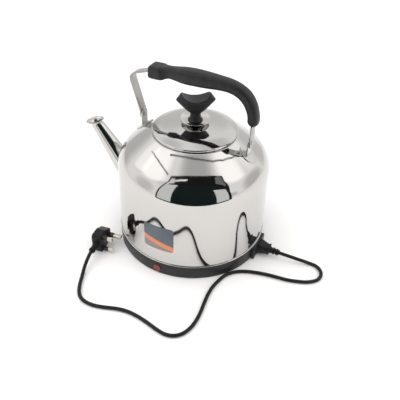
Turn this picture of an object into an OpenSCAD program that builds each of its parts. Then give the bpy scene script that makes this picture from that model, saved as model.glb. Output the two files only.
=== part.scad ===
// Corded electric kettle: spun steel vessel, bail handle, lift-off lid, black base and detachable lead.
// Millimetres. The origin is the centre of the base's underside, +Z is up.
// The spout points along -X, the mains inlet along +X and the indicator lamp along -Y.

/* [Vessel] */
// Outer radius of the straight wall
body_r = 120; // [110:1:125]
// Height where the straight wall turns into the shoulder
wall_top = 136; // [125:1:140]
// Radius of the shoulder's corner
corner_r = 46; // [40:1:50]
// Sheet thickness of the vessel
sheet = 1; // [0.8:0.1:1.5]
// Radius where the shoulder flattens into the lid's seat
seat_r = 66; // [66:1:70]
// Radius of the roll between the shoulder and the seat
roll_r = 3; // [2:1:8]
// Inner radius of the neck
neck_r = 59; // [55:1:60]

/* [Base] */
// Height of the base
base_h = 24; // [23.5:0.5:26]
// Outer radius of the black skirt
skirt_r = 121.3; // [121:0.1:123]
// Thickness of the base plate
plate_t = 3; // [2.5:0.5:3.5]
// Height of the inlet's centre above the table
inlet_z = 12.5; // [12:0.5:13]

/* [Lid] */
// Outer radius of the lid's rim
lid_r = 65; // [62:0.5:66]
// Height of the band around the lid's rim
lid_band = 3.6; // [3:0.2:5]
// Rise of the lid's dome
lid_rise = 12.9; // [12:0.1:15]
// How far the knob is turned from the spout's plane, in degrees
knob_turn = 33; // [0:1:90]

/* [Handle] */
// Height of the hinge axis
hinge_z = 203; // [200:1:206]
// Half distance between the two ears' inner faces
ear_x = 88.5; // [86:0.5:90]
// Width of the steel strap
strap_w = 16; // [12:1:18]
// Thickness of the steel strap and of the ears
strap_t = 2; // [1.5:0.5:2.5]

/* [Lead] */
// Radius of the flexible cord
cord_r = 2.8; // [2.6:0.05:3]
// Half width of the plug
plug_half = 17; // [16.5:0.5:18]

/* [Hidden] */
$fn = 96;

steel = "silver";
black = "#232427";
brass = "goldenrod";

// ---- Vessel profile: straight wall, corner arc, slow crown arc, roll, flat seat, turned-down neck.
corner_end = 50.6;
crown_r = 428;
corner_cx = body_r - corner_r;
crown_cx = corner_cx + (corner_r - crown_r) * cos(corner_end);
crown_cz = wall_top + (corner_r - crown_r) * sin(corner_end);
crown_end = acos((seat_r - crown_cx) / (crown_r - roll_r));
roll_cz = crown_cz + (crown_r - roll_r) * sin(crown_end);
seat_z = roll_cz + roll_r;
neck_drop = 10;

function arc(cx, cz, r, a0, a1, n) =
    [for (i = [0 : n]) [cx + r * cos(a0 + (a1 - a0) * i / n), cz + r * sin(a0 + (a1 - a0) * i / n)]];
function reversed(list) = [for (i = [len(list) - 1 : -1 : 0]) list[i]];
function shoulder(offset) = concat(
    arc(corner_cx, wall_top, corner_r + offset, 0, corner_end, 12),
    arc(crown_cx, crown_cz, crown_r + offset, corner_end + 1, crown_end, 5),
    arc(seat_r, roll_cz, roll_r + offset, crown_end + 7, 90, 4));

// ---- Base levels.
skirt_top = base_h - 0.8;
skirt_wall = 2.5;
skirt_lift = 0.4;
plate_r = skirt_r - skirt_wall - 0.4;
pan_z = base_h + 5;
pan_t = 1.5;
foot_ring = 98;
foot_r = 9;
foot_t = 1.6;
foot_stem_r = 3;
stud_ring = 55;
stud_r = 2;
nut_r = 4;
nut_z = 0.4;
nut_h = 2.4;
stud_boss_h = 5;

// ---- Spout: a cone on a slanted axis that starts at the wall.
spout_at = [-body_r, 0, 75];
spout_lean = 37.6;
spout_len = 110;
spout_root_r = 19.8;
spout_tip_r = 9.4;
spout_bury = 40;
lip_r = 14.9;
lip_throat = 10.2;
lip_h = 6;
lip_tilt = 11;

// ---- Element.
coil_r = 68;
sheath_r = 4;
coil_z = pan_z + pan_t + 13;
leg_bend = 9;
leg_angle = 21.6;
sleeve_r = sheath_r + 0.7;
sleeve_h = 6;
sleeve_lap = 1;
terminal_r = 1.2;
wire_r = 1.1;
bracket_half = 24;
leg_x = coil_r * cos(leg_angle) + leg_bend * sin(leg_angle);
leg_y = coil_r * sin(leg_angle) - leg_bend * cos(leg_angle);

// ---- Indicator.
lamp_z = 11;
lens_r = 5;
lens_back = skirt_r - skirt_wall - 2;
neon_len = 14;

// ---- Inlet and connector.
cavity_w = 24.6;
cavity_h = 14.8;
housing_face = 124.5;
pin_w = 4;
pin_t = 2;
pin_gap = 14;
pin_back = 100;
pin_tip = 122.5;
pin_places = [[-pin_gap / 2, -2], [pin_gap / 2, -2], [0, 2]];
inlet_flange_x = 105.5;
inlet_screw_y = 20;
inlet_screw_z = 13;
inlet_screw_r = 1.5;
nose_back = 109;
contact_back = 113.5;
contact_len = 8;
relief_start = 145.5;
relief_end = 160;
relief_bore = 3.45;

// ---- Lid levels.
lid_gap = 0.15;
lid_z = seat_z + lid_gap;
lid_cap_r = (lid_r * lid_r + lid_rise * lid_rise) / (2 * lid_rise);
lid_top = lid_z + lid_band + lid_rise;
saucer_r = 23;
knob_foot_z = lid_top + 1;
knob_screw_r = 2;
seal_t = 1.2;
seal_z = lid_top - 1.1 - seal_t;
knob_tip = 29.5;
knob_tip_z = 249.5;
knob_top_z = 260;
knob_top = 22;
knob_deep = 15.5;
knob_dip = 9.5;
knob_scoop_r = (knob_top * knob_top + knob_dip * knob_dip) / (2 * knob_dip);

// ---- Handle. Each station is x, z, height, width and squareness of the grip's section.
grip_stations = [
    [-74, 279, 17, 23, 6], [-71, 279, 19.5, 25, 6], [-56, 279.5, 19.5, 25, 6], [-51, 280.5, 18.5, 22, 4],
    [-43, 282, 17.5, 18.5, 3], [-33, 282.5, 19, 20, 3], [-18, 283, 22.5, 24, 3], [0, 284, 23, 25, 3],
    [18, 284.5, 21.5, 24, 3], [36, 285, 19, 22, 3], [52, 284.5, 17.5, 20.5, 3], [66, 281, 17, 20, 3],
    [78, 273.5, 17, 20, 3], [86, 262.5, 16.5, 19.5, 3], [90.5, 250, 16, 19, 3], [91.7, 240, 16, 19, 3],
    [91.7, 236, 14, 17, 2.5], [91.7, 233, 9, 12, 2]
];
grip_steps = 3;
grip_sides = 28;
ear_gap = 0.2;
strap_x = ear_x + strap_t + ear_gap + strap_t / 2;
strap_front = [[-strap_x, hinge_z], [-strap_x, 209], [-107, 258], [-107.3, 263], [-104.5, 267.5],
    [-100, 270], [-74.15, 279]];
strap_rear = [[strap_x, 233], [strap_x, hinge_z]];
tang_w = 10;
rivet_r = 2.5;
rivet_clearance = 0.06;

// ---- Lead: the cord's route over the table, from the connector to the plug.
plug_at = [-102.5, -120.5, plug_half];
plug_turn = 8;
plug_depth = 16;
plug_back = -7;
plug_relief_end = -24;
plug_cable_x = -8;
plug_axis = [sin(plug_turn), -cos(plug_turn), 0];
plug_exit = plug_at + plug_cable_x * [cos(plug_turn), sin(plug_turn), 0] - plug_relief_end * plug_axis;
lie_z = cord_r + 0.3;
cord_route = [
    [158, 0, inlet_z], [170, 0, inlet_z], [179, 0.3, inlet_z - 0.1], [190, 3, 10], [200, 7, 6.5],
    [209, 9.8, lie_z + 0.5], [214, 10.4, lie_z], [219.7, 9.8, lie_z], [227.4, 5.8, lie_z], [232.6, -1, lie_z],
    [234.5, -9.5, lie_z], [232.6, -18, lie_z], [227.9, -24.4, lie_z], [219.5, -31, lie_z],
    [208.7, -36, lie_z], [191.5, -41.5, lie_z], [178.4, -43.4, lie_z], [165, -45.2, lie_z],
    [151.8, -47.5, lie_z], [137, -51.5, lie_z], [123, -57, lie_z], [110, -65.5, lie_z], [100.5, -77.5, lie_z],
    [95.6, -92.5, lie_z], [92.6, -111, lie_z], [93, -129, lie_z], [95.4, -146.7, lie_z], [98.2, -165, lie_z],
    [99.3, -183, lie_z], [97.2, -199.5, lie_z], [91, -212.5, lie_z], [81.5, -220, lie_z],
    [70, -222.6, lie_z], [55.8, -220.8, lie_z], [40.4, -217.1, lie_z], [25.3, -214.2, lie_z],
    [10.6, -212.8, lie_z], [-2.5, -213.5, lie_z], [-14.7, -216.2, lie_z], [-26, -220.2, lie_z],
    [-37.4, -224.1, lie_z], [-49.5, -226.6, lie_z], [-62, -226.6, lie_z], [-72.5, -223.2, lie_z],
    [-80.5, -216.5, lie_z], [-86.3, -208.3, lie_z], [-91.2, -199.3, lie_z], [-95.2, -190.3, lie_z + 0.4],
    [-98.6, -182, 5], [-101.4, -174, 8], [-103.4, -166, 11.6], [-104.9, -158, 14.8],
    plug_exit + 5 * plug_axis - [0, 0, 0.5], plug_exit + 0.1 * plug_axis
];

// ---- Sweeps.
function spline(a, b, c, d, t) =
    0.5 * (2 * b + (c - a) * t + (2 * a - 5 * b + 4 * c - d) * t * t + (3 * b - a - 3 * c + d) * t * t * t);
function smooth(list, steps) = concat(
    [for (i = [0 : len(list) - 2], k = [0 : steps - 1])
        spline(list[max(i - 1, 0)], list[i], list[i + 1], list[min(i + 2, len(list) - 1)], k / steps)],
    [list[len(list) - 1]]);
function unit(v) = v / norm(v);
function tangent(list, i) = unit(list[min(i + 1, len(list) - 1)] - list[max(i - 1, 0)]);
function ring_faces(rings, sides) = concat(
    [[for (j = [sides - 1 : -1 : 0]) j]],
    [for (i = [0 : rings - 2], j = [0 : sides - 1])
        [i * sides + j, i * sides + (j + 1) % sides, (i + 1) * sides + (j + 1) % sides, (i + 1) * sides + j]],
    [[for (j = [0 : sides - 1]) (rings - 1) * sides + j]]);

// A round tube along a route whose direction is never vertical.
module tube(route, r, sides) {
    rings = [for (i = [0 : len(route) - 1])
        let (t = tangent(route, i), side = unit(cross([0, 0, 1], t)), up = cross(t, side))
        for (j = [0 : sides - 1])
            route[i] + r * (cos(360 * j / sides) * side + sin(360 * j / sides) * up)];
    polyhedron(rings, ring_faces(len(route), sides), 10);
}

// A flat strip of thickness t and width w along a path in the XZ plane.
module strip(path, t, w) {
    side = [for (i = [0 : len(path) - 1]) let (d = tangent(path, i)) [-d[1], d[0]] * t / 2];
    edge_a = [for (i = [0 : len(path) - 1]) path[i] + side[i]];
    edge_b = [for (i = [len(path) - 1 : -1 : 0]) path[i] - side[i]];
    rotate([90, 0, 0])
        linear_extrude(w, center = true)
            polygon(concat(edge_a, edge_b));
}

// A cylinder along X, centred on its own length.
module rod_x(r, l) {
    rotate([0, 90, 0])
        cylinder(h = l, r = r, center = true);
}

module rounded_block(size, r) {
    linear_extrude(size[2])
        hull()
            for (sx = [-1, 1], sy = [-1, 1])
                translate([sx * (size[0] / 2 - r), sy * (size[1] / 2 - r)])
                    circle(r, $fn = 32);
}

// ---- Vessel.
module vessel_outside() {
    rotate_extrude()
        polygon(concat([[0, base_h], [body_r, base_h]], shoulder(0), [[0, seat_z]]));
}

module along_spout() {
    translate(spout_at)
        rotate([0, -spout_lean, 0])
            children();
}

module vessel_body() {
    color(steel)
        difference() {
            rotate_extrude()
                polygon(concat(
                    [[body_r, base_h + 0.2]], shoulder(0),
                    [[neck_r, seat_z], [neck_r, seat_z - neck_drop], [neck_r + sheet, seat_z - neck_drop],
                        [neck_r + sheet, seat_z - sheet]],
                    reversed(shoulder(-sheet)), [[body_r - sheet, base_h + 0.2]]));
            along_spout()
                cylinder(h = spout_bury, r = 14, center = true);
        }
}

module vessel_bottom() {
    flange_r = body_r - sheet;
    color(steel)
        difference() {
            translate([0, 0, base_h + 0.2])
                cylinder(h = pan_z + pan_t - base_h - 0.2, r = flange_r);
            translate([0, 0, base_h - 1])
                cylinder(h = pan_z - base_h + 1, r = flange_r - pan_t);
            for (side = [-1, 1])
                translate([leg_x, side * leg_y, base_h])
                    cylinder(h = 20, r = sheath_r + 1);
        }
}

module trim_ring() {
    bead = 0.9;
    color(steel)
        rotate_extrude()
            difference() {
                union() {
                    translate([body_r - 4, skirt_top])
                        square([skirt_r - body_r + 4, 1]);
                    translate([body_r + 0.6, skirt_top + 1])
                        circle(bead, $fn = 32);
                }
                translate([body_r - 10, skirt_top + 1])
                    square([10, 3]);
                translate([body_r - 10, skirt_top - 3])
                    square([20, 3]);
            }
}

module spout_cone(inset, extra) {
    taper = (spout_root_r - spout_tip_r) / spout_len;
    translate([0, 0, -spout_bury])
        cylinder(h = spout_bury + spout_len + extra,
            r1 = spout_root_r + taper * spout_bury - inset, r2 = spout_tip_r - taper * extra - inset);
}

// A trumpet-shaped lip: its radius opens from the throat along a quarter ellipse.
module lip_funnel(inset, rim_h) {
    flare = [for (a = [0 : 15 : 90])
        [lip_throat + (lip_r - lip_throat) * (1 - cos(a)) - inset, lip_h * (sin(a) - 1)]];
    rotate_extrude()
        polygon(concat([[0, -lip_h]], flare, [[lip_r - inset, rim_h], [0, rim_h]]));
}

module spout() {
    mouth = [0, 0, spout_len];
    color(steel)
        difference() {
            along_spout()
                union() {
                    spout_cone(0, 4);
                    translate(mouth)
                        rotate([0, spout_lean - lip_tilt, 0])
                            lip_funnel(0, 0.01);
                }
            along_spout()
                union() {
                    spout_cone(sheet, 20);
                    translate(mouth)
                        rotate([0, spout_lean - lip_tilt, 0]) {
                            lip_funnel(sheet, 1);
                            translate([-40, -40, 0])
                                cube([80, 80, 40]);
                        }
                }
            vessel_outside();
        }
}

// An ear: an oval plate that follows the shoulder, with an upright tab that holds the hinge rivet.
module ear() {
    plate_round = 13;
    color(steel)
        difference() {
            union() {
                intersection() {
                    rotate_extrude()
                        polygon(concat(shoulder(1.2), reversed(shoulder(-sheet / 2))));
                    translate([ear_x + strap_t / 2, 0, 150])
                        cylinder(h = 60, r = plate_round);
                }
                translate([ear_x, -strap_w / 2, hinge_z - 32])
                    cube([strap_t, strap_w, 32]);
                translate([ear_x + strap_t / 2, 0, hinge_z])
                    rod_x(strap_w / 2, strap_t);
            }
            vessel_outside();
            translate([ear_x, 0, hinge_z])
                rod_x(rivet_r + rivet_clearance, 10);
        }
}

module front_ear() {
    mirror([1, 0, 0])
        ear();
}

module rear_ear() {
    ear();
}

module label() {
    half_angle = 12;
    color("slategray")
        rotate([0, 0, -89 - half_angle])
            translate([0, 0, 50])
                rotate_extrude(angle = 2 * half_angle)
                    translate([body_r, 0])
                        square([0.3, 46]);
}

// ---- Base.
module base_skirt() {
    ledge_r = plate_r - 4;
    inner_r = skirt_r - skirt_wall;
    color(black)
        difference() {
            union() {
                rotate_extrude()
                    polygon([
                        [skirt_r, skirt_lift + 1], [skirt_r, skirt_top], [body_r - 8, skirt_top],
                        [body_r - 8, skirt_top - 2], [inner_r, skirt_top - 2],
                        [inner_r, plate_t + 2.5], [ledge_r, plate_t + 2.5], [ledge_r, plate_t],
                        [inner_r, plate_t], [inner_r, skirt_lift], [skirt_r - 1, skirt_lift]]);
                for (side = [-1, 1])
                    translate([(inlet_flange_x + inner_r) / 2, side * inlet_screw_y, inlet_screw_z])
                        rod_x(4, inner_r - inlet_flange_x);
            }
            translate([inlet_flange_x, -15.6, plate_t + 0.6])
                cube([40, 31.2, 30]);
            for (side = [-1, 1])
                translate([inlet_flange_x, side * inlet_screw_y, inlet_screw_z])
                    rod_x(inlet_screw_r, 20);
            translate([0, -skirt_r, lamp_z])
                rotate([90, 0, 0])
                    cylinder(h = 20, r = lens_r + 0.05, center = true);
        }
}

module vent_slots() {
    slot_count = 12;
    for (i = [0 : slot_count - 1])
        rotate([0, 0, i * 360 / slot_count + 15])
            translate([28, -1.5, -1])
                cube([14, 3, plate_t + 2]);
}

module at_studs() {
    for (i = [0 : 2])
        rotate([0, 0, 120 * i + 60])
            translate([stud_ring, 0, 0])
                children();
}

module at_foot(i) {
    rotate([0, 0, 45 + 90 * i])
        translate([foot_ring, 0, 0])
            children();
}

module base_plate() {
    color(black)
        difference() {
            union() {
                cylinder(h = plate_t, r = plate_r);
                at_studs()
                    cylinder(h = stud_boss_h, r = nut_r + 3);
            }
            vent_slots();
            for (i = [0 : 3])
                at_foot(i) {
                    translate([0, 0, -1])
                        cylinder(h = foot_t + 1, r = foot_r);
                    cylinder(h = 10, r = foot_stem_r);
                }
            at_studs() {
                translate([0, 0, -1])
                    cylinder(h = nut_z + nut_h + 1, r = nut_r + 0.6);
                cylinder(h = 10, r = stud_r + 0.1);
            }
        }
}

// A rubber pad let into the underside of the base plate, with a stem and a retaining head.
module foot(i) {
    color("#303030")
        at_foot(i) {
            cylinder(h = foot_t, r = foot_r);
            cylinder(h = plate_t, r = foot_stem_r);
            translate([0, 0, plate_t])
                cylinder(h = 1.8, r = foot_stem_r + 1);
        }
}

module base_studs() {
    color(steel)
        at_studs()
            translate([0, 0, nut_z])
                cylinder(h = pan_z - nut_z, r = stud_r);
}

module base_nuts() {
    color(steel)
        at_studs()
            translate([0, 0, nut_z])
                difference() {
                    cylinder(h = nut_h, r = nut_r, $fn = 6);
                    translate([0, 0, -1])
                        cylinder(h = nut_h + 2, r = stud_r, $fn = 48);
                }
}

// ---- Heating.
module element_leg(side) {
    bend_z = coil_z - leg_bend;
    translate([leg_x, side * leg_y, 0])
        rotate([0, 0, side * leg_angle]) {
            translate([0, 0, pan_z - 10])
                cylinder(h = bend_z - pan_z + 10, r = sheath_r);
            translate([0, 0, pan_z - 18])
                cylinder(h = 9, r = terminal_r);
            translate([0, side * leg_bend, bend_z])
                rotate([90, 0, 90 * side])
                    rotate([0, 0, 90])
                        rotate_extrude(angle = 90)
                            translate([leg_bend, 0])
                                circle(sheath_r);
            translate([0, 0, bend_z - sleeve_lap])
                cylinder(h = 2 * sleeve_lap, r = sleeve_r);
            translate([0, side * (leg_bend - sleeve_lap), coil_z])
                rotate([-90 * side, 0, 0])
                    cylinder(h = sleeve_h, r = sleeve_r);
        }
}

module heating_element() {
    color("dimgray") {
        rotate([0, 0, leg_angle])
            translate([0, 0, coil_z])
                rotate_extrude(angle = 360 - 2 * leg_angle)
                    translate([coil_r, 0])
                        circle(sheath_r);
        for (side = [-1, 1])
            element_leg(side);
    }
}

module washer_at_legs(z, h, r_out, sides) {
    for (side = [-1, 1])
        translate([leg_x, side * leg_y, z])
            difference() {
                cylinder(h = h, r = r_out, $fn = sides);
                translate([0, 0, -1])
                    cylinder(h = h + 2, r = sheath_r, $fn = 96);
            }
}

module element_gaskets() {
    color("firebrick")
        washer_at_legs(pan_z + pan_t, 2, 8, 96);
}

module element_nuts() {
    color(brass)
        washer_at_legs(pan_z - 5, 5, 9, 6);
}

module thermostat() {
    color("ivory") {
        translate([0, 0, pan_z - 8])
            cylinder(h = 8, r = 11);
        for (side = [-1, 1])
            translate([-3, side * 6 - 0.4, pan_z - 15])
                cube([6, 0.8, 7]);
    }
}

module thermostat_bracket() {
    color(steel)
        difference() {
            union() {
                translate([-bracket_half, -5, pan_z - 9])
                    cube([2 * bracket_half, 10, 1]);
                for (side = [-1, 1])
                    translate([side * (bracket_half - 1) - 1, -5, pan_z - 9])
                        cube([2, 10, 9]);
            }
            for (side = [-1, 1])
                translate([-3.2, side * 6 - 1.6, pan_z - 10])
                    cube([6.4, 3.2, 3]);
        }
}

module thermal_fuse() {
    color("tan")
        translate([-30, 30, pan_z - 4])
            rotate([0, 0, 45])
                rod_x(4, 22);
}

// ---- Indicator.
module indicator_lens() {
    color("darkred")
        translate([0, -lens_back, lamp_z])
            rotate([90, 0, 0]) {
                cylinder(h = skirt_wall + 2.8, r = lens_r);
                translate([0, 0, skirt_wall + 2.1])
                    cylinder(h = 1.2, r = lens_r + 1.2);
            }
}

module indicator_lamp() {
    color("orange")
        translate([0, -lens_back, lamp_z])
            rotate([-90, 0, 0])
                cylinder(h = neon_len, r = 3);
}

// ---- Inlet.
module inlet_housing() {
    neck_back = 103;
    shroud_w = 45;
    shroud_h = skirt_top - 0.1 - skirt_lift;
    shroud_back = 115;
    cavity_back = 108;
    color(black)
        difference() {
            union() {
                translate([neck_back, -15.5, plate_t + 0.7])
                    cube([19, 31, skirt_top - 0.1 - plate_t - 0.7]);
                translate([neck_back, -24, plate_t + 3])
                    cube([inlet_flange_x - neck_back, 48, 14]);
                difference() {
                    translate([shroud_back, 0, skirt_lift + shroud_h / 2])
                        rotate([90, 0, 90])
                            rounded_block([shroud_w, shroud_h, housing_face - shroud_back], 2);
                    translate([0, 0, -5])
                        cylinder(h = 60, r = skirt_r + 0.35);
                }
            }
            translate([cavity_back, -cavity_w / 2, inlet_z - cavity_h / 2])
                cube([30, cavity_w, cavity_h]);
            for (place = pin_places)
                translate([pin_back - 1, place[0] - pin_t / 2, inlet_z + place[1] - pin_w / 2])
                    cube([20, pin_t, pin_w]);
            for (side = [-1, 1])
                translate([neck_back, side * inlet_screw_y, inlet_screw_z])
                    rod_x(inlet_screw_r, 8);
        }
}

module inlet_pin(place) {
    color(brass)
        translate([pin_back, place[0] - pin_t / 2, inlet_z + place[1] - pin_w / 2])
            cube([pin_tip - pin_back, pin_t, pin_w]);
}

module inlet_screws() {
    color(steel)
        for (side = [-1, 1])
            translate([0, side * inlet_screw_y, inlet_screw_z]) {
                translate([109, 0, 0])
                    rod_x(inlet_screw_r, 12);
                translate([102, 0, 0])
                    rod_x(3, 2);
            }
}

// ---- Wires inside the base. Each ends on a pin, a terminal, the lamp or the earthed bracket.
module wire(route, shade) {
    color(shade)
        tube(smooth(route, 3), wire_r, 10);
}

module supply_wire(side, shade) {
    wire([[pin_back - 0.1, side * pin_gap / 2, inlet_z - 2], [96, side * pin_gap / 2, inlet_z - 2],
        [90, side * 9, inlet_z - 2], [80, side * 13, 12.5], [71, side * 16, 13],
        [leg_x + terminal_r, side * leg_y, 13]], shade);
}

module wire_live() {
    supply_wire(-1, "saddlebrown");
}

module wire_neutral() {
    supply_wire(1, "royalblue");
}

module wire_earth() {
    wire([[pin_back - 0.1, 0, inlet_z + 2], [92, 0, inlet_z + 2], [75, 0, 17], [55, 0, 20], [40, 0, 23],
        [bracket_half, 0, 24]], "yellowgreen");
}

module wire_lamp() {
    wire([[0, neon_len - lens_back + 0.1, lamp_z], [0.5, -98, lamp_z], [6, -90, lamp_z],
        [22, -72, lamp_z], [38, -48, 12], [48, -26, 13], [54, -17.5, 13], [leg_x - terminal_r, -leg_y, 13]], "gray");
}

// ---- Lid.
module lid_shell() {
    cap_z = lid_top - lid_cap_r;
    rim = asin((lid_r - 1.2) / lid_cap_r);
    color(steel)
        difference() {
            rotate_extrude()
                polygon(concat(
                    [[lid_r - 1, lid_z], [lid_r, lid_z + 0.8], [lid_r, lid_z + lid_band - 0.8],
                        [lid_r - 0.3, lid_z + lid_band - 0.1]],
                    arc(0, cap_z, lid_cap_r, 90 - rim, 90, 14),
                    reversed(arc(0, cap_z, lid_cap_r - 0.9, 90 - rim + 0.4, 90, 14))));
            cylinder(h = 400, r = 2.5);
        }
}

module lid_collar() {
    collar_r = neck_r - 0.6;
    color(steel)
        rotate_extrude()
            polygon([[collar_r - 0.8, lid_z - 9], [collar_r, lid_z - 9], [collar_r, lid_z],
                [lid_r - 1.01, lid_z], [lid_r - 1.6, lid_z + 0.5], [collar_r - 0.8, lid_z + 0.8]]);
}

module knob_slice(z, half_x, half_y) {
    translate([0, 0, z])
        linear_extrude(0.5)
            resize([2 * half_x, 2 * half_y])
                circle(10, $fn = 32);
}

module knob() {
    stem_r = 8;
    color(black)
        rotate([0, 0, knob_turn])
            difference() {
                union() {
                    translate([0, 0, knob_foot_z])
                        rotate_extrude()
                            polygon([[0, 0], [11.5, 0], [11.5, 1.2], [9.5, 2.5], [8.3, 5], [stem_r, 8],
                                [stem_r, 13], [0, 13]]);
                    hull() {
                        knob_slice(228.5, stem_r, stem_r);
                        knob_slice(235, 16, 11.5);
                    }
                    hull() {
                        knob_slice(235, 16, 11.5);
                        knob_slice(knob_tip_z, knob_tip, 14);
                    }
                    hull() {
                        knob_slice(knob_tip_z, knob_tip, 14);
                        knob_slice(knob_top_z - 0.5, knob_top, knob_deep);
                    }
                }
                translate([0, 0, knob_top_z - knob_dip + knob_scoop_r])
                    rotate([90, 0, 0])
                        cylinder(h = 80, r = knob_scoop_r, center = true);
                translate([0, 0, knob_foot_z - 1])
                    cylinder(h = 17, r = knob_screw_r);
            }
}

module knob_saucer() {
    color(steel)
        difference() {
            rotate_extrude()
                polygon([[0, knob_foot_z - 1], [9, knob_foot_z - 1], [16, knob_foot_z - 0.3],
                    [saucer_r, knob_foot_z + 2], [saucer_r - 0.4, knob_foot_z + 2.8],
                    [14, knob_foot_z], [0, knob_foot_z]]);
            cylinder(h = 400, r = 2.5);
        }
}

module knob_screw() {
    head_h = 2.2;
    color(steel)
        translate([0, 0, seal_z - head_h]) {
            cylinder(h = head_h, r = 4);
            cylinder(h = knob_foot_z + 14 - seal_z + head_h, r = knob_screw_r);
        }
}

module knob_seal() {
    color("#404040")
        difference() {
            translate([0, 0, seal_z])
                cylinder(h = seal_t, r = 6);
            cylinder(h = 400, r = knob_screw_r);
        }
}

// ---- Handle.
module grip_solid() {
    stations = smooth(grip_stations, grip_steps);
    centres = [for (s = stations) [s[0], s[1]]];
    points = [for (i = [0 : len(stations) - 1])
        let (s = stations[i], t = tangent(centres, i), n = [-t[1], t[0]])
        for (j = [0 : grip_sides - 1])
            let (c = cos(360 * j / grip_sides), d = sin(360 * j / grip_sides),
                a = sign(c) * pow(abs(c), 2 / s[4]) * s[2] / 2,
                b = sign(d) * pow(abs(d), 2 / s[4]) * s[3] / 2)
            [s[0] + a * n[0], b, s[1] + a * n[1]]];
    polyhedron(points, ring_faces(len(stations), grip_sides), 10);
}

function tang_path() = concat(
    [[-76, 279]], [for (i = [1 : len(grip_stations) - 2]) [grip_stations[i][0], grip_stations[i][1]]],
    [[strap_x, 230]]);

module tang() {
    strip(tang_path(), strap_t, tang_w);
}

module grip() {
    color(black)
        difference() {
            grip_solid();
            tang();
        }
}

module strap_eye(side) {
    translate([side * strap_x, 0, hinge_z])
        rod_x(strap_w / 2, strap_t);
}

module handle_strap() {
    color(steel)
        difference() {
            union() {
                strip(strap_front, strap_t, strap_w);
                strip(strap_rear, strap_t, strap_w);
                tang();
                strap_eye(1);
                strap_eye(-1);
            }
            translate([0, 0, hinge_z])
                rod_x(rivet_r, 400);
        }
}

module rivet() {
    head_r = 4.5;
    inner = ear_x - ear_gap;
    outer = strap_x + strap_t / 2;
    translate([(inner + outer) / 2, 0, 0])
        rod_x(rivet_r, outer - inner);
    translate([outer + 0.8, 0, 0])
        rod_x(head_r, 1.6);
    translate([inner - 0.8, 0, 0])
        rod_x(head_r, 1.6);
}

module handle_rivets() {
    color(steel)
        translate([0, 0, hinge_z]) {
            rivet();
            mirror([1, 0, 0])
                rivet();
        }
}

// ---- Connector.
module connector_slab(x, size, r) {
    translate([x, 0, inlet_z])
        rotate([90, 0, 90])
            rounded_block(size, r);
}

module connector_body() {
    clearance = 0.3;
    flange_at = 141;
    color(black)
        difference() {
            union() {
                translate([nose_back, -cavity_w / 2 + clearance, inlet_z - cavity_h / 2 + clearance])
                    cube([housing_face - nose_back + 1, cavity_w - 2 * clearance, cavity_h - 2 * clearance]);
                hull() {
                    connector_slab(housing_face + clearance, [23, 18.6, 3], 6);
                    connector_slab(flange_at - 2, [16, 13.5, 2], 5);
                }
                connector_slab(flange_at, [18.5, 15.5, 2.4], 5);
                connector_slab(flange_at + 2, [12, 12, relief_start - flange_at - 2], 5.9);
            }
            for (place = pin_places)
                translate([nose_back - 1, place[0] - pin_t / 2 - 0.1, inlet_z + place[1] - pin_w / 2 - 0.1])
                    cube([22, pin_t + 0.2, pin_w + 0.2]);
            for (place = pin_places)
                contact_block(place);
            translate([relief_start, 0, inlet_z])
                rod_x(relief_bore, 20);
        }
}

// A contact sleeve in the connector's nose.
module contact_block(place) {
    translate([contact_back, place[0] - 2, inlet_z + place[1] - 3])
        cube([contact_len, 4, 6]);
}

module connector_contacts() {
    color(brass)
        for (place = pin_places)
            difference() {
                contact_block(place);
                translate([contact_back - 1, place[0] - pin_t / 2 - 0.1, inlet_z + place[1] - pin_w / 2 - 0.1])
                    cube([contact_len + 2, pin_t + 0.2, pin_w + 0.2]);
            }
}

// A sleeve with two wide ribs and an end collar.
module connector_relief() {
    length = relief_end - relief_start;
    color(black)
        translate([relief_start, 0, inlet_z])
            rotate([0, 90, 0])
                difference() {
                    rotate_extrude()
                        polygon([[0, 0], [5.2, 0], [4.5, 3], [5.6, 3.4], [5.9, 4.2], [5.9, 5.8], [5.6, 6.6],
                            [4.4, 7], [4.4, 8.8], [5.2, 9.2], [5.4, 10], [5.4, 11], [5.2, 11.8], [4.3, 12.2],
                            [4.3, 12.8], [4.6, 13.2], [4.6, length - 0.4], [4.3, length], [0, length]]);
                    translate([0, 0, -1])
                        cylinder(h = length + 2, r = relief_bore);
                }
}

// ---- Cord and plug. The plug lies on its side, with its pins along its own +X.
module cord() {
    color(black)
        tube(smooth(cord_route, 2), cord_r, 12);
}

module at_plug() {
    translate(plug_at)
        rotate([0, 0, plug_turn])
            children();
}

// Half heights of the plug's outline at stations along its own Y.
plug_outline_half = [[plug_back, 13], [-4, plug_half], [12, plug_half], [26, 9.5], [29, 8]];

module plug_outline() {
    polygon(concat(plug_outline_half, reversed([for (p = plug_outline_half) [p[0], -p[1]]])));
}

module plug_body() {
    color(black)
        at_plug()
            difference() {
                translate([-plug_depth, 0, 0])
                    rotate([90, 0, 90])
                        linear_extrude(plug_depth)
                            plug_outline();
                pin_block(22.2, 0, 8, 4, 30, -8);
                pin_block(0, 11.1, 4, 6.3, 30, -8);
                pin_block(0, -11.1, 4, 6.3, 30, -8);
                fuse_pocket(0.15);
            }
}

module fuse_pocket(gap) {
    translate([-9 - gap, 4.5 - gap, -14 - gap])
        cube([9 + 2 * gap, 9 + 2 * gap, 28 + 2 * gap]);
}

// A pin of section h by w that runs from x0 to x1 in the plug's own frame.
module pin_block(y, z, h, w, x1, x0) {
    translate([x0, y - h / 2, z - w / 2])
        cube([x1 - x0, h, w]);
}

module plug_pin_earth() {
    color(brass)
        at_plug()
            pin_block(22.2, 0, 8, 4, 22.7, -8);
}

module plug_pin_line() {
    color(brass)
        at_plug()
            pin_block(0, 11.1, 4, 6.3, 17.7, -8);
}

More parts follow.
